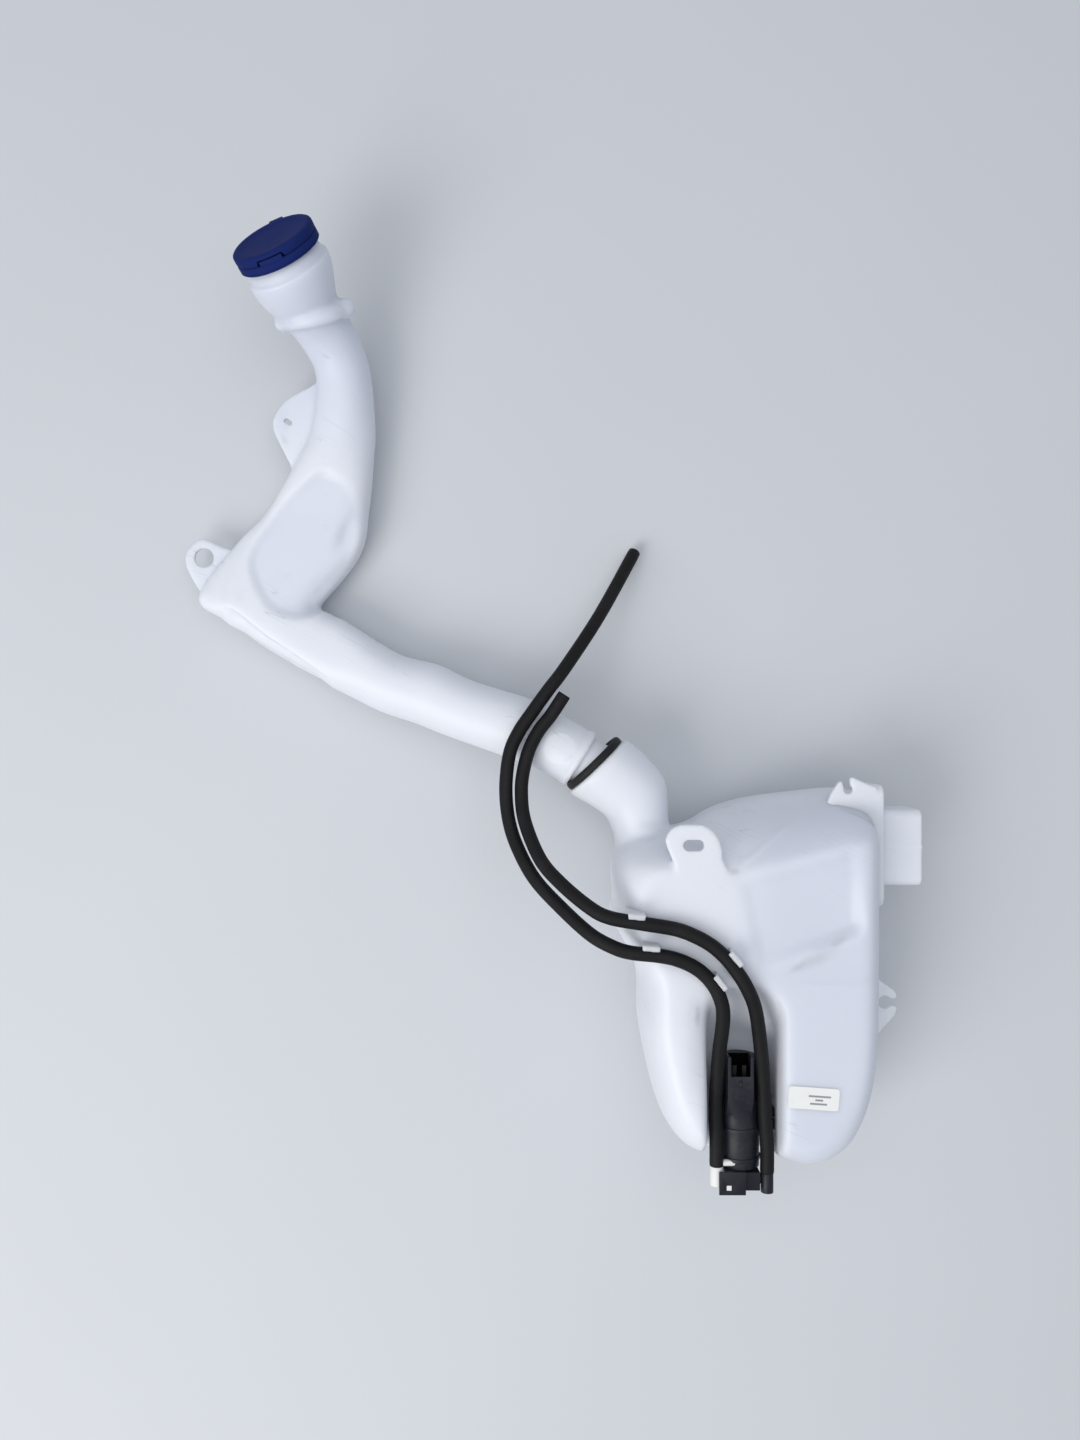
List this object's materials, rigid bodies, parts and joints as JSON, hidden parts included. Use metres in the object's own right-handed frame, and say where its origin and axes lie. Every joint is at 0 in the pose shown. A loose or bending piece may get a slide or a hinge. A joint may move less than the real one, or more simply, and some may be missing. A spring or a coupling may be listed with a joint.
{
  "type": "washer fluid reservoir",
  "caption": "Blow-moulded washer fluid tank with an elbow neck, a long bent filler tube with a hinged cap, a pump held in a valley of the tank and rubber hoses.",
  "frame": {"origin": "middle of the tank's flat back, on the floor the reservoir lies on", "axes": "+Z from the back of the tank to its front, +Y from the pump end to the filler end, +X toward the side with the guide block"},
  "size_m": [0.4487, 0.5646, 0.1065],
  "materials": {
    "natural_plastic": "milky satin",
    "black_rubber": "matte",
    "navy_plastic": "satin",
    "label_film": "smooth film",
    "black_plastic": "satin",
    "white_plastic": "satin",
    "steel": "bare",
    "magnet": "dull",
    "copper": "bare",
    "bronze": "bare",
    "carbon": "dull"
  },
  "bodies": {
    "reservoir": {"tank": "natural_plastic", "neck_seal": "black_rubber", "filler_tube": "natural_plastic", "cap_ring": "navy_plastic", "label": "label_film", "pump_grommet": "black_rubber", "inlet_strainer": "white_plastic", "pump_housing": "black_plastic", "chamber_plate": "black_plastic", "valve_block": "black_plastic", "front_outlet": "white_plastic", "rear_outlet": "black_plastic", "valve_diaphragm": "black_rubber", "shaft_seal": "black_rubber", "motor_yoke": "steel", "field_magnets": "magnet", "lower_bush": "bronze", "upper_bush": "bronze", "brush_plate": "black_plastic", "brushes": "carbon", "terminals": "copper", "hose_front": "black_rubber", "hose_rear": "black_rubber"},
    "lid": {"cap_lid": "navy_plastic"},
    "rotor": {"motor_shaft": "steel", "impeller": "white_plastic", "armature_core": "steel", "armature_windings": "copper", "commutator": "copper"}
  },
  "joints": [
    {"name": "cap_hinge", "type": "hinge", "parent": "reservoir", "child": "lid", "pos_m": [-0.27375, 0.40364, 0.10058], "axis": [0.9357, 0.2976, 0.1893], "range_deg": [0, 130]},
    {"name": "rotor_spin", "type": "hinge", "parent": "reservoir", "child": "rotor", "pos_m": [-0.0095, -0.07, 0.072], "axis": [0, 1, 0], "continuous": true}
  ]
}
